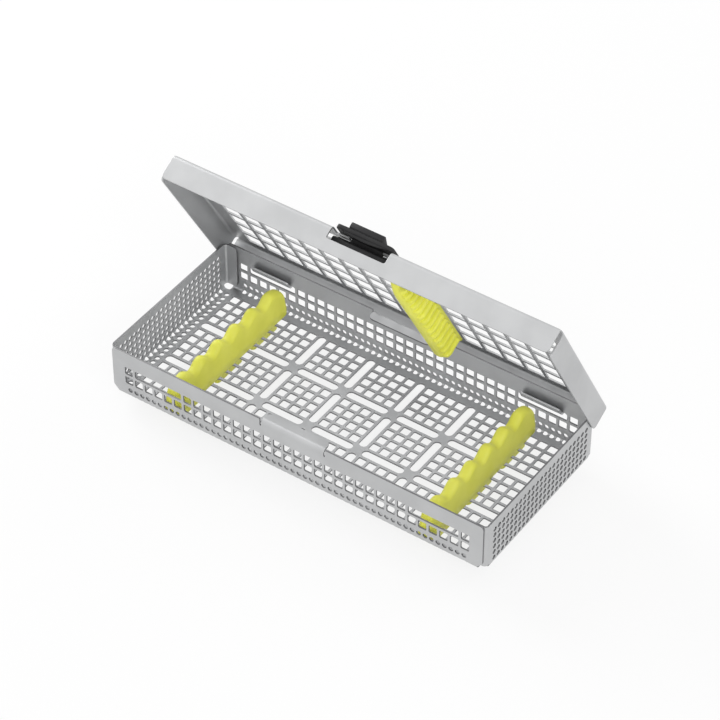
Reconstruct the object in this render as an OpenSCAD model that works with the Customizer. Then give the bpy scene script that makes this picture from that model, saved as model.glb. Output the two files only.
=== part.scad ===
// Instrument cassette: a perforated steel tray with a hinged perforated lid, a sliding latch
// and soft rails that hold slender hand instruments in a row.
// Millimetres. Origin at the centre of the tray's underside, X along its length, Y to the hinge,
// Z up. The lid is drawn open, turned back about the hinge line.

/* [Tray] */
// Length of the tray over its side walls
tray_length = 200; // [160:5:260]
// Width of the tray over its front and back walls
tray_width = 87.2; // [76:0.2:142]
// Height of the tray walls above the floor's underside
tray_height = 26.2; // [25:0.2:32]
// Sheet thickness of tray and lid
sheet = 0.8; // [0.6:0.1:1]
// Outer radius of a folded edge
bend_radius = 2; // [1.4:0.1:2.4]

/* [Perforations] */
// Distance between neighbouring small square holes
pitch = 5.44; // [5:0.04:6]
// Side of a small square hole
small_hole = 4.26; // [3.6:0.02:4.4]
// Side of a large square hole in the lid, which has one hole for each two small ones
large_hole = 9; // [7.4:0.1:9.2]
// Width of the long slots in the floor
slot_width = 4.1; // [3.6:0.1:4.4]
// Diameter of the round holes beside the folds
round_hole = 2.1; // [1.6:0.1:2.4]
// Distance between neighbouring round holes in a line
round_pitch = 3.31; // [3.1:0.01:4]
// Distance between the lines of round holes in the short walls
round_line_pitch = 3.4; // [3.2:0.1:4]

/* [Lid] */
// How far the lid is opened
lid_open = 60.9; // [0:0.1:64]
// Air between the tray's side walls and the lid's folded sides
lid_gap = 0.4; // [0.3:0.1:1]
// Air between the tray's front wall and the lid's front flange
lid_front_gap = 0.85; // [0.6:0.05:1.2]
// Depth of the lid's front and back flanges
flange_depth = 12.1; // [11:0.1:14]
// Width of each hinge tab on the back flange
hinge_tab_width = 21; // [16:0.5:24]

/* [Latch] */
// Width of the latch slider's plate
latch_width = 29.2; // [24:0.2:32]
// How far the latch slides back to let the lid go
latch_travel = 3.8; // [3.6:0.1:4]
// Width of the keeper tongue that the latch hooks under
keeper_width = 33.2; // [30:0.2:36]

/* [Soft rails] */
// Number of instrument seats in each support bar
seats = 5; // [4:1:7]
// Distance between neighbouring seats
seat_pitch = 12.9; // [12:0.1:14]
// Width of a support bar
bar_width = 8; // [6.4:0.2:9]
// Height of a support bar's crests above the floor's underside
bar_crest = 17.6; // [15:0.2:18]
// Height of the seats between the crests
bar_seat = 14.2; // [11:0.2:15]
// How far the feet stand out below the floor
foot_drop = 6; // [3:0.5:8]
// Width of the hold-down pad under the lid
pad_width = 9.2; // [8:0.2:10]
// How far the hold-down pad hangs below the lid's panel
pad_drop = 12.6; // [9:0.2:13]

/* [Hidden] */
// Round faces stay smooth at this many sides
$fn = 48;
// Sides of a small round perforation
hole_sides = 8;
// How far a cutter stands past the sheet it cuts
past = 1;
// Half sizes of the tray
half_length = tray_length / 2;
half_width = tray_width / 2;
inner_radius = bend_radius - sheet;
// The floor ends where the folds begin
floor_x = half_length - bend_radius;
floor_y = half_width - bend_radius;
// Plain margins of the floor pattern
end_margin = 7.4;
side_margin = 5.4;
// A long slot spans four pitches, and each cell of the pattern five
slot_length = 4 * pitch;
cell = 5 * pitch;
// Counts of holes and slots on each side of the middle
square_x = floor((half_length - end_margin - small_hole / 2) / pitch - 0.5);
square_y = floor((half_width - side_margin - small_hole / 2) / pitch - 0.5);
slot_x = floor((half_length - end_margin - slot_length / 2) / cell);
slot_y = floor((half_width - side_margin - slot_length / 2) / cell);
// Round holes in two columns at each end of the floor and one line low in the long walls
end_column = half_length - 4.8;
end_holes = floor((half_width - 4) / round_pitch);
low_line = 4.4;
// Where the round holes lie on the folds, in degrees from the floor
long_fold_turn = 27;
short_fold_turn = 36;
low_holes = floor((half_length - 9) / round_pitch);

// Long walls: two lines of square holes, with a long slot for each hinge tab
wall_end = half_length - 1.3;
wall_corner = 2.6;
wall_line_low = 10.1;
wall_line_high = wall_line_low + pitch;
wall_slot_low = wall_line_high - small_hole / 2;
wall_slot_high = wall_line_high + small_hole / 2;
hinge_tab_x = (square_x - 2.5) * pitch;
hinge_slot_half = hinge_tab_width / 2 + 2.4;

// Short walls: a field of round holes, and tabs folded inside the long walls
side_first = 3.6;
side_rows = floor((tray_height - 5.4 - side_first) / round_line_pitch);
side_columns = floor((half_width - 6) / round_pitch);
tab_gap = 0.1;
tab_length = 5;
tab_corner = 2.5;
tab_low = 2.4;
tab_high = tray_height - 0.4;
corner_y = half_width - sheet - tab_gap;

// Tongues folded inwards at the middle of both long walls
tongue_top = tray_height - 0.3;
tongue_depth = 5.8;
tongue_corner = 3;
relief = 0.8;
relief_depth = 3.8;

// Lid, drawn shut and then turned about the hinge line
rim_gap = 0.3;
lid_x = half_length + lid_gap + sheet;
lid_y = half_width + lid_front_gap + sheet;
lid_z = tray_height + rim_gap + sheet;
lid_pitch = 2 * pitch;
lid_back_margin = 5.25;
lid_front_margin = 10.5;
lid_columns = floor((lid_x - 9.4 - large_hole / 2) / lid_pitch);
lid_rows = floor((2 * lid_y - lid_back_margin - lid_front_margin - large_hole) / lid_pitch);
lid_first_row = lid_y - lid_back_margin - large_hole / 2;
flange_low = lid_z - flange_depth;
side_flange_low = flange_low - 0.4;
long_flange_end = lid_x - 1.2;
side_flange_end = lid_y - 2.8;
flange_corner = 2.5;

// Hinge line and the tabs that turn in the back wall's slots
hinge_y = half_width + 0.6;
hinge_z = wall_slot_high - 0.37;
hinge_tab_low = hinge_z - 2.1;
hinge_tab_radius = 1.5;
hinge_tab_depth = 5.8;
hinge_tab_corner = 1.5;
// Between the tabs the back flange stays above the hinge line, clear of the wall
back_flange_low = hinge_z - 0.4;

// Latch window in the lid: a wide cut for the skirt and a narrow one for the neck
latch_play = 0.4;
window_x = latch_width / 2 + 0.6;
window_back = 6.8;
window_low = 6.2;
neck_x = 8.3;
neck_front = 8.4;
neck_back = 10.2;
neck_slot_back = neck_back + latch_travel + latch_play;
plate_low = 0.35;
plate_high = 2.3;
plate_back = 10.5;
grip_high = 5.4;
hook_front = tongue_depth + lid_y - half_width + latch_play - latch_travel;
hook_high = tray_height - tongue_top + rim_gap + sheet + sheet + 0.35;
hook_low = 6.8;

// Support bars, seated on the floor over the outer slot columns
bar_x = 2.5 * cell;
bar_end = half_width - sheet - 0.4;
bar_round = 3;
bar_steps = 96;
foot_width = slot_width - 0.2;
foot_length = slot_length - 2.2;

// Hold-down pad under the second column of lid holes
pad_x = 2 * lid_pitch;
pad_back = 5.4;
pad_front = 3.5;
pad_steps = 90;
pad_ribs = 14;
pad_round = 4.2;
rib_height = 0.4;
peg = large_hole - 0.6;
peg_rise = 0.7;

steel_colour = [0.78, 0.79, 0.8];
soft_colour = [0.85, 0.86, 0.29];
latch_colour = [0.2, 0.2, 0.2];

// Turns what is drawn shut into the open lid's place
module on_lid()
    translate([0, hinge_y, hinge_z])
    rotate([-lid_open, 0, 0])
    translate([0, -hinge_y, -hinge_z])
    children();

// A slot with round ends, centred, its length along X
module slot(length, width) {
    square([length - width, width], center = true);
    for (side = [-1, 1])
        translate([side * (length - width) / 2, 0])
            circle(d = width, $fn = 24);
}

// A rectangle from one corner to the other with its two lower corners rounded
module low_rounded(x0, y0, x1, y1, r)
    intersection() {
        translate([x0, y0])
            square([x1 - x0, y1 - y0]);
        union() {
            translate([x0 + r, y0])
                square([x1 - x0 - 2 * r, y1 - y0]);
            translate([x0, y0 + r])
                square([x1 - x0, y1 - y0]);
            for (x = [x0 + r, x1 - r])
                translate([x, y0 + r])
                    circle(r);
        }
    }

// A quarter of a folded edge, its outer corner towards -X and -Y
module quarter_fold(r)
    intersection() {
        difference() {
            circle(r);
            circle(r - sheet);
        }
        translate([-r, -r])
            square(r);
    }

// Is a half-step column one of the columns of long slots?
function in_slot_column(i) = abs((abs(i) + 2.5) % 5) < 0.1;

// Floor
module floor_holes() {
    for (i = [-square_x - 0.5 : square_x + 0.5])
        for (j = [-square_y - 0.5 : square_y + 0.5])
            if (!in_slot_column(i) && !in_slot_column(j))
                translate([i * pitch, j * pitch])
                    square(small_hole, center = true);
    for (i = [-slot_x - 0.5 : slot_x + 0.5])
        if (abs(i * cell) < half_length - end_margin)
            for (j = [-slot_y : slot_y])
                translate([i * cell, j * cell])
                    rotate(90)
                    slot(slot_length, slot_width);
    for (i = [-slot_x : slot_x])
        for (j = [-slot_y + 0.5 : slot_y - 0.5])
            translate([i * cell, j * cell])
                slot(slot_length, slot_width);
    for (side = [-1, 1])
        for (j = [-end_holes : end_holes])
            if (abs(j * round_pitch) < floor_y - round_hole)
                translate([side * end_column, j * round_pitch])
                    circle(d = round_hole, $fn = hole_sides);
}

module tray_floor()
    color(steel_colour)
    linear_extrude(sheet)
    difference() {
        square([2 * floor_x, 2 * floor_y], center = true);
        floor_holes();
    }

// The flat of a long wall, drawn in X and Z
module long_wall_outline()
    difference() {
        low_rounded(-wall_end, bend_radius, wall_end, tray_height, wall_corner);
        translate([-keeper_width / 2, tongue_top - bend_radius])
            square([keeper_width, bend_radius + past]);
        for (side = [-1, 1])
            translate([side * (keeper_width + relief) / 2, tray_height - relief_depth / 2 + past / 2])
                square([relief, relief_depth + past], center = true);
    }

module long_wall_holes() {
    for (i = [-square_x - 0.5 : square_x + 0.5])
        for (z = [wall_line_low, wall_line_high])
            if (z == wall_line_low || abs(abs(i * pitch) - hinge_tab_x) > hinge_slot_half + small_hole / 2)
                translate([i * pitch, z])
                    square(small_hole, center = true);
    for (side = [-1, 1])
        translate([side * hinge_tab_x, wall_line_high])
            square([2 * hinge_slot_half, small_hole], center = true);
    for (i = [-low_holes : low_holes])
        translate([i * round_pitch, low_line])
            circle(d = round_hole, $fn = hole_sides);
}

// A long wall at the front, with the fold that joins it to the floor
module long_wall() {
    translate([0, -half_width + sheet, 0])
        rotate([90, 0, 0])
        linear_extrude(sheet)
        difference() {
            long_wall_outline();
            long_wall_holes();
        }
    difference() {
        translate([-wall_end + wall_corner, -floor_y, bend_radius])
            rotate([90, 0, 90])
            linear_extrude(2 * (wall_end - wall_corner))
            quarter_fold(bend_radius);
        for (i = [-low_holes : low_holes])
            translate([i * round_pitch, -floor_y, bend_radius])
                rotate([180 - long_fold_turn, 0, 0])
                cylinder(h = bend_radius + past, d = round_hole, $fn = hole_sides);
    }
}

module tray_front_wall()
    color(steel_colour)
    long_wall();

module tray_back_wall()
    color(steel_colour)
    rotate(180)
    long_wall();

// A short wall at the left end, with the fold that joins it to the floor
module short_wall() {
    translate([-half_length, 0, 0])
        rotate([90, 0, 90])
        linear_extrude(sheet)
        difference() {
            translate([-corner_y + bend_radius, bend_radius])
                square([2 * (corner_y - bend_radius), tray_height - bend_radius]);
            for (i = [-side_columns : side_columns])
                for (j = [0 : side_rows])
                    translate([i * round_pitch, side_first + j * round_line_pitch])
                        circle(d = round_hole, $fn = hole_sides);
        }
    difference() {
        translate([-floor_x, corner_y - bend_radius, bend_radius])
            rotate([90, 0, 0])
            linear_extrude(2 * (corner_y - bend_radius))
            quarter_fold(bend_radius);
        for (i = [-end_holes : end_holes])
            translate([-floor_x, i * round_pitch, bend_radius])
                rotate([0, 180 + short_fold_turn, 0])
                cylinder(h = bend_radius + past, d = round_hole, $fn = hole_sides);
    }
}

// Folds and tabs at both ends of a short wall, lying inside the long walls
module corner_tabs()
    for (side = [-1, 1])
        scale([1, side, 1]) {
            translate([-floor_x, -corner_y + bend_radius, tab_low])
                linear_extrude(tab_high - tab_low)
                quarter_fold(bend_radius);
            translate([-floor_x, -corner_y + sheet, 0])
                rotate([90, 0, 0])
                linear_extrude(sheet)
                rotate(90)
                low_rounded(tab_low, -tab_length, tab_high, 0, tab_corner);
        }

module tray_left_wall()
    color(steel_colour)
    short_wall();

module tray_right_wall()
    color(steel_colour)
    rotate(180)
    short_wall();

module left_corner_tabs()
    color(steel_colour)
    corner_tabs();

module right_corner_tabs()
    color(steel_colour)
    rotate(180)
    corner_tabs();

// A tongue folded inwards from the top of the front wall
module tongue() {
    translate([-keeper_width / 2, -floor_y, tongue_top - bend_radius])
        rotate([90, 0, 90])
        linear_extrude(keeper_width)
        scale([1, -1])
        quarter_fold(bend_radius);
    translate([0, -half_width, tongue_top - sheet])
        linear_extrude(sheet)
        scale([1, -1])
        low_rounded(-keeper_width / 2, -tongue_depth, keeper_width / 2, -bend_radius, tongue_corner);
}

module keeper_tongue()
    color(steel_colour)
    tongue();

module rear_tongue()
    color(steel_colour)
    rotate(180)
    tongue();

// Support bar: a soft ridge of crests and seats along Y, with feet through the floor's slots
function bar_wave(y) = (bar_crest + bar_seat) / 2 - (bar_crest - bar_seat) / 2 * cos(360 * y / seat_pitch + 180 * (seats + 1));
function bar_top(y) =
    abs(y) < (seats + 1) * seat_pitch / 2
        ? bar_wave(y)
        : bar_seat - 0.26 * pow(abs(y) - (seats + 1) * seat_pitch / 2, 2);
function bar_base(y) = sheet + 0.5 * max(0, abs(y) - floor_y + 0.4);
function bar_section(y) = [
    [-bar_width / 2, y, bar_base(y)],
    for (a = [180 : -22.5 : 0])
        [
            (bar_width / 2 - bar_round) * sign(cos(a)) + bar_round * cos(a),
            y,
            bar_top(y) - bar_round + bar_round * sin(a),
        ],
    [bar_width / 2, y, bar_base(y)],
];

// Skin over a row of like sections, closed at both ends
module skin(sections) {
    n = len(sections[0]);
    rows = len(sections);
    sides = [
        for (i = [0 : rows - 2])
            for (j = [0 : n - 1])
                for (f = [0, 1])
                    f == 0
                        ? [i * n + j, i * n + (j + 1) % n, (i + 1) * n + (j + 1) % n]
                        : [i * n + j, (i + 1) * n + (j + 1) % n, (i + 1) * n + j]
    ];
    first = [for (j = [n - 1 : -1 : 0]) j];
    last = [for (j = [0 : n - 1]) (rows - 1) * n + j];
    polyhedron([for (s = sections) for (p = s) p], concat(sides, [first, last]));
}

module support_bar() {
    skin([for (k = [0 : bar_steps]) bar_section(bar_end * (1 - 2 * k / bar_steps))]);
    for (j = [-slot_y : slot_y])
        translate([0, j * cell, -foot_drop])
            linear_extrude(foot_drop + sheet + 1)
            rotate(90)
            slot(foot_length, foot_width);
}

module left_support_bar()
    color(soft_colour)
    translate([-bar_x, 0, 0])
    support_bar();

module right_support_bar()
    color(soft_colour)
    translate([bar_x, 0, 0])
    support_bar();

// Lid panel with its large square holes and the latch's cut
module lid_panel()
    color(steel_colour)
    on_lid()
    translate([0, 0, lid_z - sheet])
    linear_extrude(sheet)
    difference() {
        square([2 * (lid_x - bend_radius), 2 * (lid_y - bend_radius)], center = true);
        for (i = [-lid_columns : lid_columns])
            for (j = [0 : lid_rows])
                if (j < lid_rows || abs(i) > 1)
                    translate([i * lid_pitch, lid_first_row - j * lid_pitch])
                        square(large_hole, center = true);
        translate([-window_x, -lid_y])
            square([2 * window_x, window_back]);
        translate([-neck_x - latch_play, -lid_y])
            square([2 * (neck_x + latch_play), neck_slot_back]);
    }

// Front flange, its upper middle cut away for the latch
module lid_front_flange()
    color(steel_colour)
    on_lid()
    difference() {
        union() {
            translate([0, -lid_y + sheet, 0])
                rotate([90, 0, 0])
                linear_extrude(sheet)
                low_rounded(-long_flange_end, flange_low, long_flange_end, lid_z - bend_radius, flange_corner);
            translate([-lid_x + bend_radius, -lid_y + bend_radius, lid_z - bend_radius])
                rotate([90, 0, 90])
                linear_extrude(2 * (lid_x - bend_radius))
                scale([1, -1])
                quarter_fold(bend_radius);
        }
        translate([-window_x, -lid_y - past, lid_z - window_low])
            cube([2 * window_x, window_back + past, window_low + past]);
    }

// Back flange, reaching lower only where the hinge tabs fold away
module lid_back_flange()
    color(steel_colour)
    on_lid() {
        translate([0, lid_y, 0])
            rotate([90, 0, 0])
            linear_extrude(sheet)
            difference() {
                union() {
                    low_rounded(-long_flange_end, back_flange_low, long_flange_end, lid_z - bend_radius, flange_corner);
                    for (side = [-1, 1])
                        translate([side * hinge_tab_x - hinge_tab_width / 2, hinge_tab_low + hinge_tab_radius])
                            square([hinge_tab_width, flange_corner]);
                }
                for (side = [-1, 1])
                    for (edge = [-1, 1])
                        translate([side * hinge_tab_x + edge * (hinge_tab_width + relief) / 2, back_flange_low])
                            square([relief, 2 * relief], center = true);
            }
        translate([-lid_x + bend_radius, lid_y - bend_radius, lid_z - bend_radius])
            rotate([90, 0, 90])
            linear_extrude(2 * (lid_x - bend_radius))
            scale([-1, -1])
            quarter_fold(bend_radius);
    }

// A side flange at the left end of the lid
module side_flange() {
    translate([-lid_x, 0, 0])
        rotate([90, 0, 90])
        linear_extrude(sheet)
        low_rounded(-side_flange_end, side_flange_low, side_flange_end, lid_z - bend_radius, flange_corner);
    translate([-lid_x + bend_radius, side_flange_end, lid_z - bend_radius])
        rotate([90, 0, 0])
        linear_extrude(2 * side_flange_end)
        scale([1, -1])
        quarter_fold(bend_radius);
}

module lid_left_flange()
    color(steel_colour)
    on_lid()
    side_flange();

module lid_right_flange()
    color(steel_colour)
    on_lid()
    rotate(180)
    side_flange();

// A tab folded inwards from the back flange's lower edge
module hinge_tab(x)
    on_lid()
    translate([x, 0, 0]) {
        translate([-hinge_tab_width / 2, lid_y - hinge_tab_radius, hinge_tab_low + hinge_tab_radius])
            rotate([90, 0, 90])
            linear_extrude(hinge_tab_width)
            scale([-1, 1])
            quarter_fold(hinge_tab_radius);
        translate([0, lid_y, hinge_tab_low])
            linear_extrude(sheet)
            low_rounded(
                -hinge_tab_width / 2,
                -hinge_tab_depth,
                hinge_tab_width / 2,
                -hinge_tab_radius,
                hinge_tab_corner
            );
    }

module hinge_tabs()
    color(steel_colour)
    for (side = [-1, 1])
        hinge_tab(side * hinge_tab_x);

// Hold-down pad: a soft ridge along Y under the panel, ribbed on its right side
pad_length = 2 * lid_y - pad_back - pad_front;
function rib(s) = rib_height * max(0, cos(360 * s * pad_ribs / pad_length));
function end_lift(s, r) = s >= r ? 1 : sqrt(1 - pow(1 - s / r, 2));
function pad_depth(s) = pad_drop * min(end_lift(s + 0.6, 4), 0.5 + 0.5 * end_lift(pad_length - s, 16));
function pad_section(s) = [
    [pad_width / 2, lid_y - pad_back - s, 0],
    for (a = [0 : 22.5 : 180])
        [
            (pad_width / 2 - pad_round) * sign(cos(a)) + (pad_round + (a < 90 ? rib(s) : 0)) * cos(a),
            lid_y - pad_back - s,
            -max(pad_depth(s) - pad_round, 0.1) - min(pad_round, pad_depth(s) - 0.1) * sin(a),
        ],
    [-pad_width / 2, lid_y - pad_back - s, 0],
];

module hold_down_pad()
    color(soft_colour)
    on_lid()
    difference() {
        union() {
            translate([pad_x, 0, lid_z - sheet])
                skin([for (k = [0 : pad_steps]) pad_section(pad_length * k / pad_steps)]);
            for (j = [1, 3, 5])
                translate([pad_x, lid_first_row - j * lid_pitch, lid_z - sheet - 1 + (sheet + peg_rise + 1) / 2])
                    cube([peg, peg, sheet + peg_rise + 1], center = true);
        }
        translate([pad_x - pad_width, hinge_y, hinge_z])
            rotate([90, 0, 90])
            linear_extrude(2 * pad_width)
            hinge_sweep();
    }

// Where the tray's back wall passes as the lid turns, seen along X
module hinge_sweep()
    intersection() {
        circle(tray_height - hinge_z + 0.6);
        rotate(65)
            translate([-1.9, 0])
            square([20, 20]);
    }

// Latch: a plate over the panel, with a skirt, a thumb ridge and a hook under the keeper
module latch_profile(points, half)
    translate([-half, -lid_y, lid_z])
    rotate([90, 0, 90])
    linear_extrude(2 * half)
    polygon(points);

module latch_slider()
    color(latch_colour)
    on_lid() {
        translate([0, -lid_y, lid_z + plate_low])
            linear_extrude(plate_high - plate_low)
            low_rounded(-latch_width / 2, 1, latch_width / 2, plate_back, 2.4);
        latch_profile([[1, -1], [2.6, -1], [2.6, plate_low], [1.2, plate_low]], latch_width / 2 - 2.4);
        latch_profile([[0.85, plate_high], [0.85, 4.4], [1.5, grip_high], [7, 3.8], [8.6, plate_high]], neck_x + 0.3);
        latch_profile([[neck_front, -4], [neck_back, -4], [neck_back, plate_low], [neck_front, plate_low]], neck_x);
        latch_profile([[neck_front, -hook_high], [neck_back, -hook_high], [neck_back, -1.2], [neck_front, -1.2]], latch_width / 2);
        latch_profile(
            [
                [hook_front, -hook_high - 0.8],
                [hook_front + 0.8, -hook_high],
                [neck_back, -hook_high],
                [neck_back, -hook_low],
                [hook_front + 2.4, -hook_low],
                [hook_front, -hook_low + 1.6],
            ],
            latch_width / 2 + 0.2
        );
    }

tray_floor();
tray_front_wall();
tray_back_wall();
tray_left_wall();
tray_right_wall();
left_corner_tabs();
right_corner_tabs();
keeper_tongue();
rear_tongue();
left_support_bar();
right_support_bar();
lid_panel();
lid_front_flange();
lid_back_flange();
lid_left_flange();
lid_right_flange();
hinge_tabs();
hold_down_pad();
latch_slider();
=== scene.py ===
from math import cos, pi, radians, sin

import bmesh
import bpy
import numpy as np
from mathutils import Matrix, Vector


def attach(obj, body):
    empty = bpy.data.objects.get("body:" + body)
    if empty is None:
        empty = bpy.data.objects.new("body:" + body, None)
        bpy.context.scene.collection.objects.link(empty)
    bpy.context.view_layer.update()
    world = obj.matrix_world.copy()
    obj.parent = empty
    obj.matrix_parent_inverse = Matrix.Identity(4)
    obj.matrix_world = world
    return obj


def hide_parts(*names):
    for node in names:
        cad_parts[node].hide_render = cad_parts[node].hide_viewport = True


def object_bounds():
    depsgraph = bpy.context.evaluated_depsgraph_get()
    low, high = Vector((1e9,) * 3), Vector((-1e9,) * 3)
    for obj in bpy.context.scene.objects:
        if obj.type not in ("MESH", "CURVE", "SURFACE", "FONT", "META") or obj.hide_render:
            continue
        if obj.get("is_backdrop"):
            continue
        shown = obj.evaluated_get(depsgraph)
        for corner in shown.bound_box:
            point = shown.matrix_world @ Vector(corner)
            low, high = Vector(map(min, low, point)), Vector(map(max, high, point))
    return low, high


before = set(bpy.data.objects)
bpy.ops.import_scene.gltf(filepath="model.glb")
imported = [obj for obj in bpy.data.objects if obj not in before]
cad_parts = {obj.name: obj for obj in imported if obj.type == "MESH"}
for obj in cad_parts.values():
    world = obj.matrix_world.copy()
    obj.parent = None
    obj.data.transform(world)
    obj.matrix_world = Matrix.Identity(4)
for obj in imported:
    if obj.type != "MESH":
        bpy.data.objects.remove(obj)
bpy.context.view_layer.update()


# The camera stands to the right of the cassette and above it, as the photographer's did.
# It is a long lens, so the tray's edges run nearly parallel.

turn, rise, distance = radians(34.796), radians(42.717), 1.3838
aim = Vector((0.000644, 0.006954, 0.032142))
back = Vector((sin(turn) * cos(rise), -cos(turn) * cos(rise), sin(rise)))
lens = bpy.data.cameras.new("camera")
lens.sensor_width = 36
lens.lens = 157.33
lens.clip_start, lens.clip_end = 0.05, 20
camera = bpy.data.objects.new("camera", lens)
camera.location = aim + back * distance
camera.rotation_euler = (-back).to_track_quat("-Z", "Y").to_euler()
bpy.context.scene.collection.objects.link(camera)
bpy.context.scene.camera = camera


# The tray is one blank of 0.8 mm stainless sheet. Its holes are punched while it is flat, then
# its four walls are folded up, the short walls' end tabs go inside the long walls, and a tongue
# is folded inwards at the middle of each long wall. Satin faces; the sheared edges are dull,
# and their darker colour is painted shade for the insides of the holes.

MM = 0.001
sheet = 0.8
pitch = 5.44
fold_radius = 2.0
fold_arc = (fold_radius - sheet / 2) * pi / 2
tray_x, tray_y, tray_z = 100.0, 43.6, 26.2
floor_x, floor_y = tray_x - fold_radius, tray_y - fold_radius


class Socket:
    """One output of a node. Arithmetic on it, or make(), adds the next node to the same tree."""

    def __init__(self, tree, output=None):
        self.tree, self.output = tree, output

    def make(self, kind, inputs=(), out=0, **settings):
        node = self.tree.nodes.new(kind)
        for name, value in settings.items():
            setattr(node, name, value)
        for key, value in dict(inputs).items():
            self.feed(node.inputs[key], value)
        return Socket(self.tree, node.outputs[out] if len(node.outputs) else None)

    def feed(self, target, value):
        for one in value if isinstance(value, list) else [value]:
            if isinstance(one, Socket):
                self.tree.links.new(one.output, target)
            else:
                target.default_value = one

    def math(self, operation, a, b):
        return self.make("ShaderNodeMath", {0: a, 1: b}, operation=operation)

    def ramp(self, low, high, to_low=0.0, to_high=1.0):
        ends = {0: self, 1: low, 2: high, 3: to_low, 4: to_high}
        return self.make("ShaderNodeMapRange", ends, interpolation_type="SMOOTHSTEP")

    def __add__(self, other):
        return self.math("ADD", self, other)

    def __sub__(self, other):
        return self.math("SUBTRACT", self, other)

    def __rsub__(self, other):
        return self.math("SUBTRACT", other, self)

    def __mul__(self, other):
        return self.math("MULTIPLY", self, other)

    def __truediv__(self, other):
        return self.math("DIVIDE", self, other)

    def __rtruediv__(self, other):
        return self.math("DIVIDE", other, self)

    __radd__, __rmul__ = __add__, __mul__


def new_finish(name):
    """A new material, its shader and a Socket to start its nodes from."""
    material = bpy.data.materials.new(name)
    material.use_nodes = True
    tree = material.node_tree
    return material, tree.nodes["Principled BSDF"], Socket(tree)


def two_tone(start, mask, dark, light):
    """A colour that runs from dark to light with the mask."""
    ends = {"Factor": mask.ramp(0.3, 0.7), "A": dark, "B": light}
    return start.make("ShaderNodeMix", ends, out="Result", data_type="RGBA")


def steel_finish(name, dark, light, rough):
    """Satin stainless sheet: fine grain from rolling, a little cloudiness and softened edges."""
    material, shader, start = new_finish(name)
    place = start.make("ShaderNodeTexCoord", out="Object")
    grain_place = start.make("ShaderNodeMapping", {"Vector": place, "Scale": (60, 900, 900)})
    grain = start.make("ShaderNodeTexNoise", {"Vector": grain_place, "Scale": 4.0, "Detail": 3.0})
    cloud = start.make("ShaderNodeTexNoise", {"Vector": place, "Scale": 55.0, "Detail": 3.0})
    speck = start.make("ShaderNodeTexNoise", {"Vector": place, "Scale": 2600.0, "Detail": 2.0})
    start.feed(shader.inputs["Base Color"], two_tone(start, cloud, dark, light))
    shader.inputs["Metallic"].default_value = 1.0
    start.feed(shader.inputs["Roughness"], rough + cloud * 0.08 + grain * 0.06)
    edge = start.make("ShaderNodeBevel", {"Radius": 0.00018}, samples=4)
    bumps = {"Height": grain * 0.6 + speck * 0.4, "Strength": 0.12, "Distance": 0.00005}
    bumps["Normal"] = edge
    start.feed(shader.inputs["Normal"], start.make("ShaderNodeBump", bumps))
    return material


def new_tree(name, sizes):
    """Starts a Geometry Nodes tree. Gives back a Socket to go on from and its named inputs."""
    tree = bpy.data.node_groups.new(name, "GeometryNodeTree")
    tree.interface.new_socket("Geometry", in_out="OUTPUT", socket_type="NodeSocketGeometry")
    for title, kind in {"Geometry": "Geometry", **sizes, "Material": "Material"}.items():
        tree.interface.new_socket(title, in_out="INPUT", socket_type="NodeSocket" + kind)
    given = tree.nodes.new("NodeGroupInput")
    return Socket(tree), {plug.name: Socket(tree, plug) for plug in given.outputs if plug.name}


def end_tree(start, geometry, material):
    """Makes the copies real, gives them their material and sends them out of the tree."""
    whole = start.make("GeometryNodeRealizeInstances", {"Geometry": geometry})
    done = start.make("GeometryNodeSetMaterial", {"Geometry": whole, "Material": material})
    leave = start.tree.nodes.new("NodeGroupOutput")
    start.tree.links.new(done.output, leave.inputs[0])


def grown(mesh, tree, wanted):
    """The plain mesh that a tree makes of this one. wanted holds the tree's inputs by name."""
    carrier = bpy.data.objects.new(mesh.name, mesh)
    bpy.context.scene.collection.objects.link(carrier)
    step = carrier.modifiers.new(tree.name, "NODES")
    step.node_group = tree
    for item in tree.interface.items_tree:
        if item.name in wanted:
            step[item.identifier] = wanted[item.name]
    bpy.context.view_layer.update()
    ready = carrier.evaluated_get(bpy.context.evaluated_depsgraph_get())
    made = bpy.data.meshes.new_from_object(ready)
    bpy.data.objects.remove(carrier)
    return made


def round_box(start, width, height, corner, count):
    """A rectangle with round corners, as a curve."""
    sides = {"Width": width, "Height": height}
    plain = start.make("GeometryNodeCurvePrimitiveQuadrilateral", sides)
    corners = {"Curve": plain, "Radius": corner, "Count": count}
    return start.make("GeometryNodeFilletCurve", corners, mode="POLY")


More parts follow.
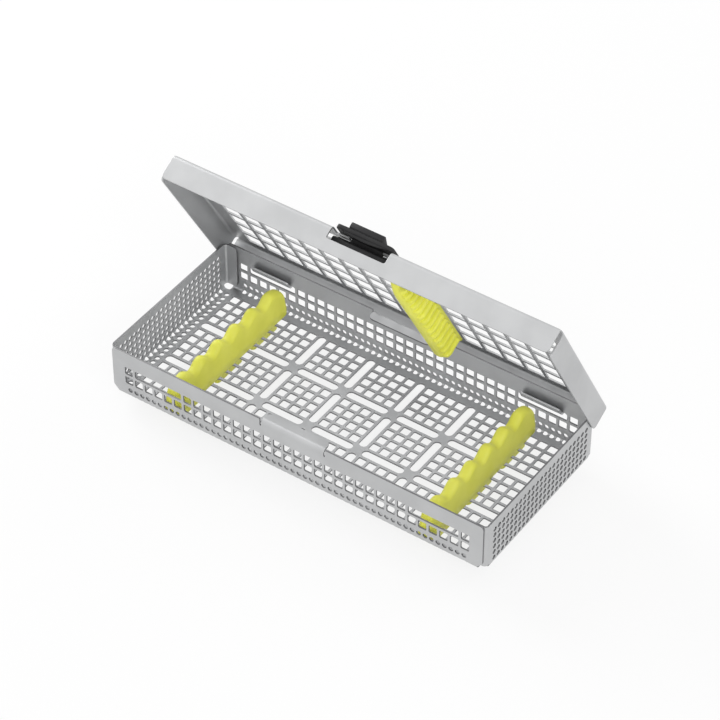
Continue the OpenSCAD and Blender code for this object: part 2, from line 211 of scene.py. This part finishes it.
def punch_tree():
    """Fills an outline and cuts a hole at each mark: 1 square, 2 and 3 slots, 4 round."""
    names = ("Square", "Square Corner", "Slot Length", "Slot Width", "Round")
    start, ask = new_tree("punched blank", dict.fromkeys(names, "Float"))
    tool = start.make("GeometryNodeInputNamedAttribute", {"Name": "tool"}, data_type="INT")

    def marked(number):
        same = {2: tool, 3: number}
        chosen = start.make("FunctionNodeCompare", same, data_type="INT", operation="EQUAL")
        parts = {"Geometry": ask["Geometry"], "Selection": chosen}
        return start.make("GeometryNodeSeparateGeometry", parts, domain="POINT")

    half = ask["Slot Width"] * 0.4999
    dot = {"Resolution": 14, "Radius": ask["Round"] / 2}
    shapes = {
        1: round_box(start, ask["Square"], ask["Square"], ask["Square Corner"], 3),
        2: round_box(start, ask["Slot Length"], ask["Slot Width"], half, 7),
        3: round_box(start, ask["Slot Width"], ask["Slot Length"], half, 7),
        4: start.make("GeometryNodeCurvePrimitiveCircle", dot),
    }
    curves = [start.make("GeometryNodeMeshToCurve", {"Mesh": marked(0)})]
    for number, shape in shapes.items():
        copies = {"Points": marked(number), "Instance": shape}
        curves.append(start.make("GeometryNodeInstanceOnPoints", copies))
    joined = start.make("GeometryNodeJoinGeometry", {"Geometry": curves})
    loops = start.make("GeometryNodeRealizeInstances", {"Geometry": joined})
    filled = start.make("GeometryNodeFillCurve", {"Curve": loops}, mode="TRIANGLES")
    end_tree(start, filled, ask["Material"])
    return start.tree


def rounded_loop(corners, steps=5):
    """A closed outline whose corners (x, y, radius) are rounded."""
    loop = []
    for k, (x, y, radius) in enumerate(corners):
        here = Vector((x, y))
        before = Vector(corners[k - 1][:2]) - here
        after = Vector(corners[(k + 1) % len(corners)][:2]) - here
        angle = before.angle(after)
        if radius == 0 or angle > 3.13:
            loop.append((x, y))
            continue
        reach = min(radius / np.tan(angle / 2), before.length * 0.49, after.length * 0.49)
        a, b = here + before.normalized() * reach, here + after.normalized() * reach
        for s in np.linspace(0, 1, steps + 1):
            inner = a.lerp(here, s).lerp(here.lerp(b, s), s)
            loop.append(tuple(inner))
    return loop


def mirrored(quarter):
    """The other three quarters of an outline drawn from the +Y axis to the +X axis."""
    half = quarter + [(x, -y, r) for x, y, r in reversed(quarter[:-1])]
    return half + [(-x, y, r) for x, y, r in reversed(half[1:-1])]


def punch(name, outlines, marks, sizes, material):
    """The filled and punched blank as a mesh. marks is a list of (x, y, tool)."""
    points, edges = [], []
    for loop in outlines:
        first = len(points)
        points += [(x * MM, y * MM, 0) for x, y in loop]
        edges += [(first + k, first + (k + 1) % len(loop)) for k in range(len(loop))]
    tools = [0] * len(points) + [tool for x, y, tool in marks]
    points += [(x * MM, y * MM, 0) for x, y, tool in marks]
    mesh = bpy.data.meshes.new(name)
    mesh.from_pydata(points, edges, [])
    mesh.attributes.new("tool", "INT", "POINT").data.foreach_set("value", tools)
    wanted = {**{key: value * MM for key, value in sizes.items()}, "Material": material}
    return grown(mesh, punch_tree(), wanted)


def score(flat, folds):
    """Cuts the flat mesh where it is to bend. folds is a list of (axis, start, arc)."""
    plate = bmesh.new()
    plate.from_mesh(flat)
    bmesh.ops.remove_doubles(plate, verts=plate.verts[:], dist=1e-7)
    for axis, start, arc in folds:
        for side in (-1, 1):
            outward = Vector((side, 0, 0)) if axis == 0 else Vector((0, side, 0))
            limit = (start - 0.2) * MM
            faces = [f for f in plate.faces if any(v.co.dot(outward) > limit for v in f.verts)]
            edges = {e for f in faces for e in f.edges}
            part = list({v for e in edges for v in e.verts}) + list(edges) + faces
            for place in [start - 0.12, *np.linspace(start, start + arc, 7), start + arc + 0.12]:
                cut = {"plane_co": outward * place * MM, "plane_no": outward, "dist": 1e-8}
                part = bmesh.ops.bisect_plane(plate, geom=part, **cut)["geom"]
    bmesh.ops.triangulate(plate, faces=plate.faces[:])
    plate.verts.index_update()
    plate.faces.ensure_lookup_table()
    points = np.array([v.co[:2] for v in plate.verts]) / MM
    faces = [[v.index for v in f.verts] for f in plate.faces]
    upward = plate.faces[0].normal.z > 0
    open_sides = [e.link_loops[0] for e in plate.edges if e.is_boundary]
    rims = [(side.vert.index, side.link_loop_next.vert.index) for side in open_sides]
    plate.free()
    if not upward:
        faces = [f[::-1] for f in faces]
        rims = [(b, a) for a, b in rims]
    return points, faces, rims


def fold(points, axis, start, chosen, radius=fold_radius):
    """Bends the chosen points past start, on both sides of the middle, up towards +W."""
    arc = (radius - sheet / 2) * pi / 2
    side = np.sign(points[:, axis])
    out = np.abs(points[:, axis])
    bent = chosen & (out > start)
    angle = np.clip((out - start) / arc, 0, 1) * pi / 2
    past = np.maximum(out - start - arc, 0)
    arm = radius - points[:, 2]
    new_out = start + arm * np.sin(angle)
    new_up = radius - arm * np.cos(angle) + past
    points[bent, axis] = (side * new_out)[bent]
    points[bent, 2] = new_up[bent]


def thicken(points, faces, rims):
    """Gives the flat sheet its two faces and its sheared edges, as (x, y, w) points."""
    count = len(points)
    both = np.vstack([np.c_[points, np.zeros(count)], np.c_[points, np.full(count, sheet)]])
    shell = [f[::-1] for f in faces] + [[i + count for i in f] for f in faces]
    shell += [[a, b, b + count, a + count] for a, b in rims]
    return both, shell


def sheet_piece(name, points, shell, finishes, body):
    """The folded sheet on its body, with one finish for its faces and one for its cut edges."""
    mesh = bpy.data.meshes.new(name)
    mesh.from_pydata([tuple(p) for p in points * MM], [], shell)
    for finish in finishes:
        mesh.materials.append(finish)
    mesh.polygons.foreach_set("material_index", [int(len(f) == 4) for f in shell])
    mesh.shade_smooth()
    mesh.set_sharp_from_angle(angle=radians(32))
    piece = bpy.data.objects.new(name, mesh)
    bpy.context.scene.collection.objects.link(piece)
    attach(piece, body)
    return piece


def up_wall(z):
    """How far a height on a folded wall lies past the fold's start in the flat blank."""
    return fold_arc + z - fold_radius


small_square, slot_length, slot_width, round_hole = 4.26, 4 * pitch, 4.1, 2.45
round_pitch, round_line_pitch = 3.31, 3.4
square, along_x, along_y, round_mark = 1, 2, 3, 4
steps_x = [k + 0.5 for k in range(-17, 17)]
steps_y = [k + 0.5 for k in range(-7, 7)]
round_x = [round_pitch * k for k in range(-27, 28)]
round_y = [round_pitch * k for k in range(-11, 12)]
slot_steps = [-12.5, -7.5, -2.5, 2.5, 7.5, 12.5]
marks = [
    (i * pitch, j * pitch, square)
    for i in steps_x
    for j in steps_y
    if i not in slot_steps and abs(j) != 2.5
]
marks += [(i * pitch, 5 * j * pitch, along_y) for i in slot_steps for j in (-1, 0, 1)]
marks += [(5 * i * pitch, j * pitch, along_x) for i in range(-3, 4) for j in (-2.5, 2.5)]
for side in (-1, 1):
    marks += [(side * x, y, round_mark) for x in (95.2, floor_x + 1.0) for y in round_y]
    for out in (floor_y + 0.75, floor_y + up_wall(4.4)):
        marks += [(x, side * out, round_mark) for x in round_x]
    low_line, high_line = floor_y + up_wall(10.1), floor_y + up_wall(15.54)
    marks += [(i * pitch, side * low_line, square) for i in steps_x]
    marks += [(i * pitch, side * high_line, square) for i in steps_x if not 11 < abs(i) < 16]
    for row in range(6):
        out = floor_x + up_wall(3.6 + round_line_pitch * row)
        marks += [(side * out, y, round_mark) for y in round_y]

rim_x, rim_y = floor_x + up_wall(tray_z - 0.1), floor_y + up_wall(tray_z)
tongue_start = floor_y + up_wall(23.9)
tongue_end = tongue_start + fold_arc + 3.8
tab_low, tab_high = floor_x + up_wall(2.4), floor_x + up_wall(25.8)
quarter = [
    (0, tongue_end, 0),
    (16.6, tongue_end, 3.0),
    (16.6, floor_y + up_wall(22.4), 0.4),
    (17.4, floor_y + up_wall(22.4), 0.4),
    (17.4, rim_y, 0.3),
    (98.7, rim_y, 2.2),
    (98.7, floor_y + up_wall(4.2), 1.6),
    (96.1, floor_y + up_wall(1.6), 1.2),
    (96.1, 39.8, 0.8),
    (tab_low, 39.8, 0.4),
    (tab_low, 48.2, 2.5),
    (tab_high, 48.2, 2.5),
    (tab_high, 41.1, 0.2),
    (rim_x, 40.9, 0.2),
    (rim_x, 0, 0),
]
hinge_slot = []
for side in (-1, 1):
    for end in (-1, 1):
        low, high = floor_y + up_wall(13.41), floor_y + up_wall(17.67)
        box = [(60.54, low, 1.0), (86.34, low, 1.0), (86.34, high, 1.0), (60.54, high, 1.0)]
        hinge_slot.append(rounded_loop([(side * x, end * y, r) for x, y, r in box], 3))

satin_steel = steel_finish("satin_steel", (0.51, 0.515, 0.52, 1), (0.56, 0.565, 0.57, 1), 0.38)
# The cut edges are dull sheared steel, and their dark colour is painted shade in the holes.
sheared_steel_painted_shade = steel_finish("sheared_steel_painted_shade", (0.20, 0.2, 0.205, 1), (0.27, 0.27, 0.275, 1), 0.45)
tools = {"Square": small_square, "Square Corner": 0.55, "Round": round_hole}
tools |= {"Slot Length": slot_length, "Slot Width": slot_width}
outlines = [rounded_loop(mirrored(quarter))] + hinge_slot
flat = punch("tray_blank", outlines, marks, tools, satin_steel)
end_tab_fold = 40.7
fold_starts = ((0, floor_x), (1, tongue_start), (1, end_tab_fold), (1, floor_y))
tray_folds = [(axis, start, fold_arc) for axis, start in fold_starts]
blank, faces, rims = score(flat, tray_folds)
tray, shell = thicken(blank, faces, rims)
# Each fold bends its own part of the blank only, chosen by where that part lies when flat.
flat_x, flat_y = np.abs(tray[:, 0]), np.abs(tray[:, 1])
short_wall = (flat_x > floor_x) & ((flat_y < 41.2) | (flat_x > 100))
fold(tray, 1, tongue_start, flat_x < 17)
fold(tray, 1, end_tab_fold, flat_x > 100)
fold(tray, 1, floor_y, flat_x < 99.5)
fold(tray, 0, floor_x, short_wall)
tray_sheet = sheet_piece("tray_sheet", tray, shell, [satin_steel, sheared_steel_painted_shade], "tray")
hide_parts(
    "tray_floor",
    "tray_front_wall",
    "tray_back_wall",
    "tray_left_wall",
    "tray_right_wall",
    "left_corner_tabs",
    "right_corner_tabs",
    "keeper_tongue",
    "rear_tongue",
)


# The lid is a second blank of the same sheet, punched with larger squares and folded down on
# four sides. Its front is cut away for the latch, and two tabs at the back flange's lower edge
# are folded inwards to turn in the tray's slots. It stands open about 61 degrees.

lid_x, lid_y, lid_z = 101.2, 45.25, 27.3
panel_x, panel_y = lid_x - fold_radius, lid_y - fold_radius
hinge_y, hinge_z, lid_open = 44.2, 17.3, radians(60.9)


def down_flange(z):
    """How far a height on a folded flange lies past the fold's start in the flat blank."""
    return fold_arc + lid_z - fold_radius - z


def opened(points):
    """Points of the shut lid moved to where it stands open."""
    y, z = points[:, 1] - hinge_y, points[:, 2] - hinge_z
    across = y * cos(lid_open) + z * sin(lid_open)
    up = z * cos(lid_open) - y * sin(lid_open)
    return np.c_[points[:, 0], across + hinge_y, up + hinge_z]


front_end = panel_y + down_flange(15.2)
back_end = panel_y + down_flange(16.55)
tab_radius, tab_fold = 1.5, panel_y + down_flange(16.7)
tab_arc = (tab_radius - sheet / 2) * pi / 2
tab_end = tab_fold + tab_arc + 4.3
side_end = panel_x + down_flange(14.8)
right_half = [
    (0, back_end, 0),
    (62.1, back_end, 0.2),
    (62.1, back_end - 0.8, 0.3),
    (62.94, back_end - 0.8, 0.3),
    (62.94, tab_end, 1.5),
    (83.94, tab_end, 1.5),
    (83.94, back_end - 0.8, 0.3),
    (84.8, back_end - 0.8, 0.3),
    (84.8, back_end, 0.2),
    (100.0, back_end, 2.5),
    (100.0, 44.6, 1.0),
    (98.8, 43.4, 0.4),
    (98.8, 42.45, 0.4),
    (side_end, 42.45, 2.5),
    (side_end, -42.45, 2.5),
    (98.8, -42.45, 0.4),
    (98.8, -43.4, 0.4),
    (100.0, -44.6, 1.0),
    (100.0, -front_end, 2.5),
]
lid_outline = rounded_loop(right_half + [(-x, y, r) for x, y, r in reversed(right_half[1:])])
window_low = panel_y + down_flange(21.1)
window = [(15.2, -window_low, 1.0), (15.2, -38.45, 1.0), (8.7, -38.45, 0.4), (8.7, -30.85, 1.0)]
window_loop = rounded_loop(window + [(-x, y, r) for x, y, r in reversed(window)], 3)
lid_pitch, first_row = 2 * pitch, 35.5
lid_marks = [
    (lid_pitch * i, first_row - lid_pitch * j, square)
    for i in range(-8, 9)
    for j in range(7)
    if j < 6 or abs(i) > 1
]
lid_tools = {**tools, "Square": 9.0, "Square Corner": 0.6}
flat = punch("lid_blank", [lid_outline, window_loop], lid_marks, lid_tools, satin_steel)
lid_folds = [(0, panel_x, fold_arc), (1, tab_fold, tab_arc), (1, panel_y, fold_arc)]
blank, faces, rims = score(flat, lid_folds)
lid, shell = thicken(blank, faces, rims)
flat_x, flat_y = np.abs(lid[:, 0]), lid[:, 1]
side_cut = 42.9
fold(lid, 1, tab_fold, (flat_x < 90) & (flat_y > 0), tab_radius)
fold(lid, 1, panel_y, np.abs(flat_y) > side_cut)
fold(lid, 0, panel_x, np.abs(flat_y) < side_cut)
lid[:, 2] = lid_z - lid[:, 2]
shell = [f[::-1] for f in shell]
lid_sheet = sheet_piece("lid_sheet", opened(lid), shell, [satin_steel, satin_steel], "lid")
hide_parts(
    "lid_panel",
    "lid_front_flange",
    "lid_back_flange",
    "lid_left_flange",
    "lid_right_flange",
    "hinge_tabs",
)


# Two support bars of lime silicone are pressed through the floor's slots from above. Each has
# six soft crests with seats between them for the instruments, and three feet below the floor.

bar_crest, bar_seat, seat_pitch, bar_end, bar_half = 17.6, 14.2, 12.9, 42.4, 4.0
back_part, back_power, end_radius, end_fall, end_run = 0.74, 0.88, 5.0, 1.55, 6.0


def silicone_finish():
    """Moulded silicone: a satin skin, a little light inside and a fine dusty grain."""
    material, shader, start = new_finish("lime_silicone")
    place = start.make("ShaderNodeTexCoord", out="Object")
    cloud = start.make("ShaderNodeTexNoise", {"Vector": place, "Scale": 90.0, "Detail": 3.0})
    grain = start.make("ShaderNodeTexNoise", {"Vector": place, "Scale": 2400.0, "Detail": 2.0})
    tone = two_tone(start, cloud, (0.80, 0.80, 0.085, 1), (0.87, 0.87, 0.12, 1))
    start.feed(shader.inputs["Base Color"], tone)
    shader.inputs["Subsurface Weight"].default_value = 0.15
    shader.inputs["Subsurface Radius"].default_value = (1.0, 0.9, 0.2)
    shader.inputs["Subsurface Scale"].default_value = 0.002
    start.feed(shader.inputs["Roughness"], 0.42 + cloud * 0.12)
    bumps = {"Height": grain, "Strength": 0.15, "Distance": 0.00006}
    start.feed(shader.inputs["Normal"], start.make("ShaderNodeBump", bumps))
    return material


def skin(sections):
    """A closed skin over a row of like sections, each a list of points going round."""
    rows, around = len(sections), len(sections[0])
    faces = []
    for i in range(rows - 1):
        for j in range(around):
            k = (j + 1) % around
            here, there = i * around, (i + 1) * around
            faces.append((here + j, here + k, there + k, there + j))
    faces.append(tuple(range(around))[::-1])
    faces.append(tuple((rows - 1) * around + j for j in range(around)))
    return [p for s in sections for p in s], faces


def moulded(name, shapes, place=lambda points: points):
    """Closed skins in one mesh, each turned to face outwards, as an object in the scene."""
    mould = bmesh.new()
    for points, faces in shapes:
        verts = [mould.verts.new(p) for p in place(np.array(points)) * MM]
        made = [mould.faces.new([verts[i] for i in face]) for face in faces]
        bmesh.ops.recalc_face_normals(mould, faces=made)
    mesh = bpy.data.meshes.new(name)
    mould.to_mesh(mesh)
    mould.free()
    piece = bpy.data.objects.new(name, mesh)
    bpy.context.scene.collection.objects.link(piece)
    return piece


def joined(piece, tool, operation):
    """Joins or cuts the piece with a tool that is used up, and keeps the result as its mesh."""
    step = piece.modifiers.new("join", "BOOLEAN")
    step.object, step.operation, step.solver, step.use_self = tool, operation, "EXACT", True
    bpy.context.view_layer.update()
    ready = piece.evaluated_get(bpy.context.evaluated_depsgraph_get())
    result = bpy.data.meshes.new_from_object(ready)
    piece.modifiers.remove(step)
    piece.data = result
    bpy.data.objects.remove(tool)


def finished(piece, finish, body, node, slot, crease):
    """Gives a moulded piece its finish, and puts it on its body in the CAD node's place."""
    piece.data.materials.clear()
    piece.data.materials.append(finish)
    piece.data.shade_smooth()
    piece.data.set_sharp_from_angle(angle=radians(crease))
    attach(piece, body)
    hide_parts(node)
    # The photographed steel shows no lime, so it reflects everything but the silicone.
    piece.visible_glossy = slot != "silicone"


def bar_top(y):
    """The back's height: seats and crests in a wave, then a long last crest with a round end."""
    out, last = abs(y), 2.5 * seat_pitch
    if out < last:
        middle, swing = (bar_crest + bar_seat) / 2, (bar_crest - bar_seat) / 2
        return middle - swing * cos(2 * pi * out / seat_pitch)
    over = max(0, out - bar_end + end_radius)
    drop = end_fall * ((out - last) / end_run) ** 2
    return bar_crest - drop - end_radius + (end_radius**2 - over**2) ** 0.5


def bar_section(x, y, soft=2.8):
    """One cut across the bar: its sides lean in towards a narrow round back."""
    top = bar_top(y)
    half = bar_half - 1.2 * max(0, (abs(y) - bar_end + 3) / 3) ** 2
    base = sheet + 0.5 * max(0, abs(y) - floor_y + 0.4)
    lean = half * back_part
    section = [(x - half, y, base + 0.3), (x - half * 0.98, y, (base + top) * 0.35)]
    for a in np.linspace(pi, 0, 21):
        wide = lean * np.sign(round(cos(a), 6)) * abs(cos(a)) ** back_power
        section.append((x + wide, y, top - soft + soft * abs(sin(a)) ** back_power))
    section += [(x + half * 0.98, y, (base + top) * 0.35), (x + half, y, base + 0.3)]
    return section + [(x + half - 0.3, y, base), (x - half + 0.3, y, base)]


def foot(x, y):
    """A blade with round ends that fills a floor slot and stands out below it."""
    rings = []
    for z, inset in ((-6, 0.9), (-5.75, 0.35), (-5.2, 0.0), (1.2, 0.0)):
        radius, run = 1.95 - inset, 7.83
        arc = [(radius * cos(a), run + radius * sin(a)) for a in np.linspace(0, pi, 9)]
        rings.append([(x + side * u, y + side * v, z) for side in (1, -1) for u, v in arc])
    return skin(rings)


lime_silicone = silicone_finish()
for name, x in (("left_support_bar", -68.0), ("right_support_bar", 68.0)):
    stations = np.linspace(-bar_end, bar_end, 169)
    shapes = [skin([bar_section(x, y) for y in stations])]
    shapes += [foot(x, 5 * pitch * k) for k in (-1, 0, 1)]
    finished(moulded("soft_" + name, shapes), lime_silicone, "tray", name, "silicone", 50)


# The hold-down pad is the same silicone. It hangs from the lid on three pegs, right of the
# middle, and its round crest presses on the instruments. Its right side is ribbed, and its
# back end is cut short where the tray's back wall comes up into the open lid.

pad_x, pad_half, pad_drop, pad_start, pad_length = 4 * pitch, 4.6, 12.6, lid_y - 5.4, 81.6
pad_soft, pad_ribs, rib_pitch, ribs_out = 4.0, 14, 5.55, 0.55
lid_under = lid_z - sheet


def end_rise(s, radius):
    """A rounded end: from 0 at the end itself to 1 at the radius and beyond."""
    return 1.0 if s >= radius else (1 - (1 - s / radius) ** 2) ** 0.5


def pad_depth(s):
    """How deep the pad hangs at s from its back end. It rises over a longer run in front."""
    return pad_drop * min(end_rise(s + 0.6, 4), 0.5 + 0.5 * end_rise(pad_length - s, 16))


def pad_section(s):
    """One cut across the pad, from its right edge at the panel round to its left edge."""
    depth, y = pad_depth(s), pad_start - s
    rise = min(pad_soft, depth - 0.1)
    right = pad_half - ribs_out
    section = [(pad_x + pad_half, y, lid_under - low) for low in (0.02, 1.6)]
    section += [(pad_x + right, y, lid_under - 2.2)]
    for a in np.linspace(0, pi, 19):
        middle = right if cos(a) > 1e-6 else pad_half if cos(a) < -1e-6 else pad_soft
        wide = (middle - pad_soft) * np.sign(round(cos(a), 6)) + pad_soft * cos(a)
        section.append((pad_x + wide, y, lid_under - max(depth - pad_soft, 0.9) - rise * sin(a)))
    return section + [(pad_x - pad_half, y, lid_under - 0.02)]


def rib_tree():
    """Copies a bead along Y. The bead follows the crest's right side on its way to the panel."""
    sizes = {"Count": "Int", "Spacing": "Float", "Bead Width": "Float", "Bead Height": "Float"}
    start, ask = new_tree("pad ribs", sizes)
    way = start.make("GeometryNodeMeshToCurve", {"Mesh": ask["Geometry"]})
    along = start.make("GeometryNodeSplineParameter")
    swell = start.math("POWER", start.math("MINIMUM", along * 6.0 + 0.03, 1.0), 0.5)
    high, wide = ask["Bead Height"], ask["Bead Width"]
    ring = round_box(start, high, wide, high * 0.4, 4)
    tube = {"Curve": way, "Profile Curve": ring, "Scale": swell, "Fill Caps": True}
    bead = start.make("GeometryNodeCurveToMesh", tube)
    gap = start.make("ShaderNodeCombineXYZ", {"Y": start.math("MULTIPLY", ask["Spacing"], -1.0)})
    row = start.make("GeometryNodeMeshLine", {"Count": ask["Count"], "Offset": gap})
    copies = start.make("GeometryNodeInstanceOnPoints", {"Points": row, "Instance": bead})
    end_tree(start, copies, ask["Material"])
    return start.tree


def ribs():
    """The pad's ribs as points and faces, in the shut lid's place."""
    wide, high, right = 4.5, 2.4, pad_half - ribs_out
    reach = pad_soft - high / 2 + 0.7
    path = []
    for a in np.linspace(radians(56), 0, 8):
        drop = pad_drop - pad_soft + reach * sin(a)
        path.append((right - pad_soft + reach * cos(a), 0, -drop))
    path += [(right - pad_soft + reach, 0, z) for z in (-6.5, -4, -1.9)]
    mesh = bpy.data.meshes.new("rib_path")
    steps = [(k, k + 1) for k in range(len(path) - 1)]
    mesh.from_pydata([tuple(c * MM for c in p) for p in path], steps, [])
    wanted = {"Count": pad_ribs, "Spacing": rib_pitch * MM, "Material": lime_silicone}
    wanted |= {"Bead Width": wide * MM, "Bead Height": high * MM}
    made = grown(mesh, rib_tree(), wanted)
    first = Vector((pad_x, pad_start - 5.0, lid_under))
    points = [tuple(v.co / MM + first) for v in made.vertices]
    return points, [tuple(f.vertices) for f in made.polygons]


def soft_box(x, y, low, high, half, round_top):
    """An upright square peg with its upper edges rounded."""
    corners = [(half, half, 1.2), (-half, half, 1.2), (-half, -half, 1.2), (half, -half, 1.2)]
    loop = rounded_loop(corners, 4)
    rings = []
    for z, inset in (
        (low, 0),
        (high - round_top, 0),
        (high - round_top * 0.3, round_top * 0.3),
        (high, round_top),
    ):
        part = 1 - inset / half
        rings.append([(x + a * part, y + b * part, z) for a, b in loop])
    return skin(rings)


pad_shapes = [skin([pad_section(s) for s in np.linspace(0, pad_length, 165)]), ribs()]
for j in (1, 3, 5):
    row_y = first_row - lid_pitch * j
    pad_shapes.append(soft_box(pad_x, row_y, lid_under - 1, lid_z + 0.7, 4.2, 0.5))
pad = moulded("soft_hold_down_pad", pad_shapes, opened)

# The room that the tray's back wall sweeps as the lid turns is cut out of the pad.
clear, tilt = tray_z - hinge_z + 0.6, radians(65)
turned = [(-1.9, 0.0), (clear, 0.0)]
turned += [(clear * cos(a), clear * sin(a)) for a in np.linspace(0.1, radians(101.5), 14)]
swept = [(a * cos(tilt) - b * sin(tilt), a * sin(tilt) + b * cos(tilt)) for a, b in turned]
ends = [[(x, hinge_y + a, hinge_z + b) for a, b in swept] for x in (pad_x - 8, pad_x + 8)]
points, faces = skin(ends)
joined(pad, moulded("wall_clearance", [(points, faces)], opened), "DIFFERENCE")
finished(pad, lime_silicone, "lid", "hold_down_pad", "silicone", 50)


# The latch is one moulding of black plastic that slides on the lid's front edge: a plate with
# a low skirt, a ridge to push it back, and a hook below that catches the keeper tongue.

def plastic_finish():
    """Black moulded plastic with a fine spark-eroded grain."""
    material, shader, start = new_finish("black_plastic")
    place = start.make("ShaderNodeTexCoord", out="Object")
    grain = start.make("ShaderNodeTexNoise", {"Vector": place, "Scale": 3000.0, "Detail": 2.0})
    cloud = start.make("ShaderNodeTexNoise", {"Vector": place, "Scale": 140.0, "Detail": 3.0})
    tone = two_tone(start, cloud, (0.013, 0.013, 0.014, 1), (0.021, 0.021, 0.022, 1))
    start.feed(shader.inputs["Base Color"], tone)
    start.feed(shader.inputs["Roughness"], 0.46 + cloud * 0.14)
    shader.inputs["Specular IOR Level"].default_value = 0.3
    bumps = {"Height": grain, "Strength": 0.2, "Distance": 0.00005}
    start.feed(shader.inputs["Normal"], start.make("ShaderNodeBump", bumps))
    return material


def across(profile, half):
    """A block along X from a profile of (depth behind the flange, height over the panel)."""
    places = [(depth - lid_y, lid_z + height) for depth, height in profile]
    return skin([[(x, y, z) for y, z in places] for x in (-half, half)])


def upright(outline, low, high):
    """A block whose outline is seen from above, its points (x, depth)."""
    return skin([[(x, depth - lid_y, lid_z + z) for x, depth in outline] for z in (low, high)])


def rectangle(front, back, low, high):
    """The profile of a plain block for across()."""
    return [(front, low), (back, low), (back, high), (front, high)]


plate_half, neck_half, skirt_half, hook_front, hook_back = 14.6, 8.3, 13, 3.95, 10.2
plate = [(plate_half, 1, 2.4), (plate_half, 10.5, 1.0)]
plate = rounded_loop(plate + [(-x, depth, r) for x, depth, r in plate[::-1]], 6)
skirt_x = np.linspace(-skirt_half, skirt_half, 25)
skirt_edge = [(x, 0.5 - 1.5 * (1 - (x / skirt_half) ** 2)) for x in skirt_x]
skirt_edge += [(skirt_half, 1.2), (-skirt_half, 1.2)]
skirt = [[(x, depth - lid_y, lid_z + z) for x, z in skirt_edge] for depth in (1.1, 2.5)]
thumb = [(1.25, 2.0), (1.25, 2.6), (0.85, 2.9), (0.95, 3.6), (0.85, 4.5)]
thumb += [(1.2, 5.2), (1.7, 5.35), (7, 3.8), (8.5, 2.0)]
hook = [(hook_front, -3.35), (hook_front + 0.8, -2.6), (hook_back, -2.6)]
hook += [(hook_back, -6.75), (hook_front + 2.4, -6.75), (hook_front, -5.25)]
latch = moulded("latch_moulding", [upright(plate, 0.4, 2.25)], opened)
for shape in (
    skin(skirt),
    across(thumb, neck_half + 0.3),
    across(rectangle(8.4, 10.1, -4, 1), neck_half),
    across(rectangle(8.5, 10.0, -3.5, -1.25), plate_half),
    across(hook, plate_half + 0.2),
):
    joined(latch, moulded("latch_block", [shape], opened), "UNION")
rough = bmesh.new()
rough.from_mesh(latch.data)
bmesh.ops.remove_doubles(rough, verts=rough.verts[:], dist=1e-6)
bmesh.ops.dissolve_limit(rough, angle_limit=radians(1), verts=rough.verts[:], edges=rough.edges[:])
corners = [e for e in rough.edges if len(e.link_faces) == 2 and e.calc_face_angle() > radians(35)]
softly = {"offset": 0.22 * MM, "segments": 2, "profile": 0.5, "affect": "EDGES"}
bmesh.ops.bevel(rough, geom=corners, clamp_overlap=False, **softly)
rough.to_mesh(latch.data)
rough.free()
finished(latch, plastic_finish(), "latch", "latch_slider", "latch_black", 40)


# The studio is a pale floor that the feet stand on, a white surround and three soft lamps.
# Looked at straight or in the steel, floor and surround are white. Their light is plainer.

def lamp(name, place, toward, size, power):
    light = bpy.data.lights.new(name, "AREA")
    light.shape, light.size, light.energy = "DISK", size, power
    stand = bpy.data.objects.new(name, light)
    stand.location = place
    stand.rotation_euler = (Vector(toward) - Vector(place)).to_track_quat("-Z", "Y").to_euler()
    bpy.context.scene.collection.objects.link(stand)


lamp("key", (-1.25, 0.35, 0.7), (0, 0, 0), 0.9, 11.0)
lamp("fill", (1.0, -0.9, 0.7), (0, 0, 0.03), 1.5, 11.0)
lamp("rim", (0.7, 1.1, 0.8), (0, 0, 0.03), 0.8, 2.5)

floor_mesh = bpy.data.meshes.new("floor")
wide, feet = 3.0, -6 * MM
corners = [(-wide, -wide, feet), (wide, -wide, feet), (wide, wide, feet), (-wide, wide, feet)]
floor_mesh.from_pydata(corners, [], [(0, 1, 2, 3)])
floor = bpy.data.objects.new("floor", floor_mesh)
bpy.context.scene.collection.objects.link(floor)
paper, paper_shader, start = new_finish("white_floor")
paper_shader.inputs["Base Color"].default_value = (0.96, 0.96, 0.96, 1)
paper_shader.inputs["Roughness"].default_value = 0.8


def looked_at(start):
    """1 for rays that look at the surround straight, in metal or through glass, otherwise 0."""
    kinds = ("Camera", "Glossy", "Transmission")
    rays = [start.make("ShaderNodeLightPath", out=f"Is {kind} Ray") for kind in kinds]
    return start.math("MINIMUM", rays[0] + rays[1] + rays[2], 1.0)


plain = start.make("ShaderNodeEmission", {"Color": (1, 1, 1, 1), "Strength": 1.0})
lit = Socket(start.tree, paper_shader.outputs[0])
mixed = start.make("ShaderNodeMixShader", {0: looked_at(start) * 0.8, 1: lit, 2: plain})
start.tree.links.new(mixed.output, start.tree.nodes["Material Output"].inputs["Surface"])
floor_mesh.materials.append(paper)
floor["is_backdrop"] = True

world = bpy.data.worlds.new("surround")
bpy.context.scene.world = world
world.use_nodes = True
sky = Socket(world.node_tree)
glow = world.node_tree.nodes["Background"]
glow.inputs["Color"].default_value = (1, 1, 1, 1)
sky.feed(glow.inputs["Strength"], 0.55 + looked_at(sky) * 0.45)
bpy.context.scene.view_settings.view_transform = "Standard"

low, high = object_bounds()
